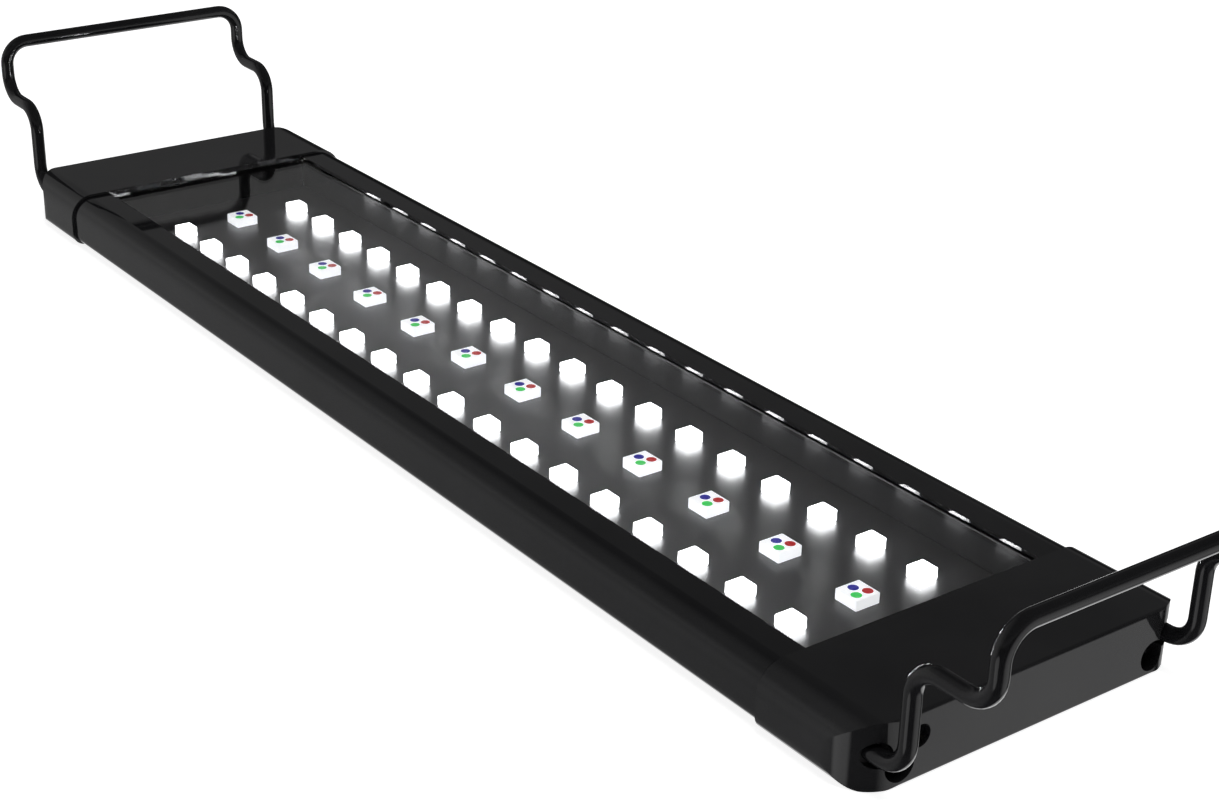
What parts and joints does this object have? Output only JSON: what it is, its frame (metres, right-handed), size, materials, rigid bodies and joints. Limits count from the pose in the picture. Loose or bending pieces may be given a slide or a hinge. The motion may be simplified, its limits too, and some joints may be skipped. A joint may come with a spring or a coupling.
{
  "type": "led aquarium light",
  "caption": "Flat black aquarium light bar with lit white and coloured LEDs behind a clear cover, rounded end caps, and a bent wire bracket that slides out of each end to rest on a tank rim.",
  "frame": {"origin": "middle of the underside, the flat back that the light lies on with its LED side up", "axes": "+X along the bar towards the end with the power inlet, +Z out of the LED side, +Y towards the rear rail"},
  "size_m": [0.5134, 0.108, 0.0595],
  "materials": {
    "black_anodised": "satin black anodised",
    "black_cap": "satin moulded",
    "black_rubber": "matte",
    "screw_steel": "blackened",
    "clear_acrylic": "clear polished",
    "clear_silicone": "translucent",
    "grey_pad": "matte",
    "black_board": "glossy solder mask",
    "white_led": "lit",
    "white_package": "satin",
    "red_emitter": "lit",
    "green_emitter": "lit",
    "blue_emitter": "lit",
    "white_connector": "satin",
    "black_socket": "satin",
    "plated_contact": "plated",
    "green_board": "solder mask",
    "black_chip": "matte",
    "dark_ferrite": "matte",
    "capacitor_can": "brushed",
    "red_insulation": "satin",
    "black_insulation": "satin",
    "black_wire": "gloss black coated",
    "black_bush": "matte"
  },
  "bodies": {
    "fixture": {"housing_extrusion": "black_anodised", "right_end_cap": "black_cap", "left_end_cap": "black_cap", "right_cap_gasket": "black_rubber", "left_cap_gasket": "black_rubber", "right_cap_screws": "screw_steel", "left_cap_screws": "screw_steel", "lens_cover": "clear_acrylic", "lens_seal_strips": "clear_silicone", "thermal_pad": "grey_pad", "led_board": "black_board", "front_white_leds": "white_led", "rear_white_leds": "white_led", "rgb_led_packages": "white_package", "red_emitters": "red_emitter", "green_emitters": "green_emitter", "blue_emitters": "blue_emitter", "board_connector": "white_connector", "dc_socket_body": "black_socket", "dc_socket_pin": "plated_contact", "dc_socket_terminals": "plated_contact", "driver_board": "green_board", "driver_chip": "black_chip", "driver_inductor": "dark_ferrite", "driver_capacitor": "capacitor_can", "input_lead_red": "red_insulation", "input_lead_black": "black_insulation", "output_lead_red": "red_insulation", "output_lead_black": "black_insulation", "right_bracket_bushes": "black_bush", "left_bracket_bushes": "black_bush"},
    "right_bracket": {"right_bracket_wire": "black_wire"},
    "left_bracket": {"left_bracket_wire": "black_wire"}
  },
  "joints": [
    {"name": "right_bracket_slide", "type": "slide", "parent": "fixture", "child": "right_bracket", "axis": [1, 0, 0], "range_m": [0, 0.08]},
    {"name": "left_bracket_slide", "type": "slide", "parent": "fixture", "child": "left_bracket", "axis": [-1, 0, 0], "range_m": [0, 0.08]}
  ]
}
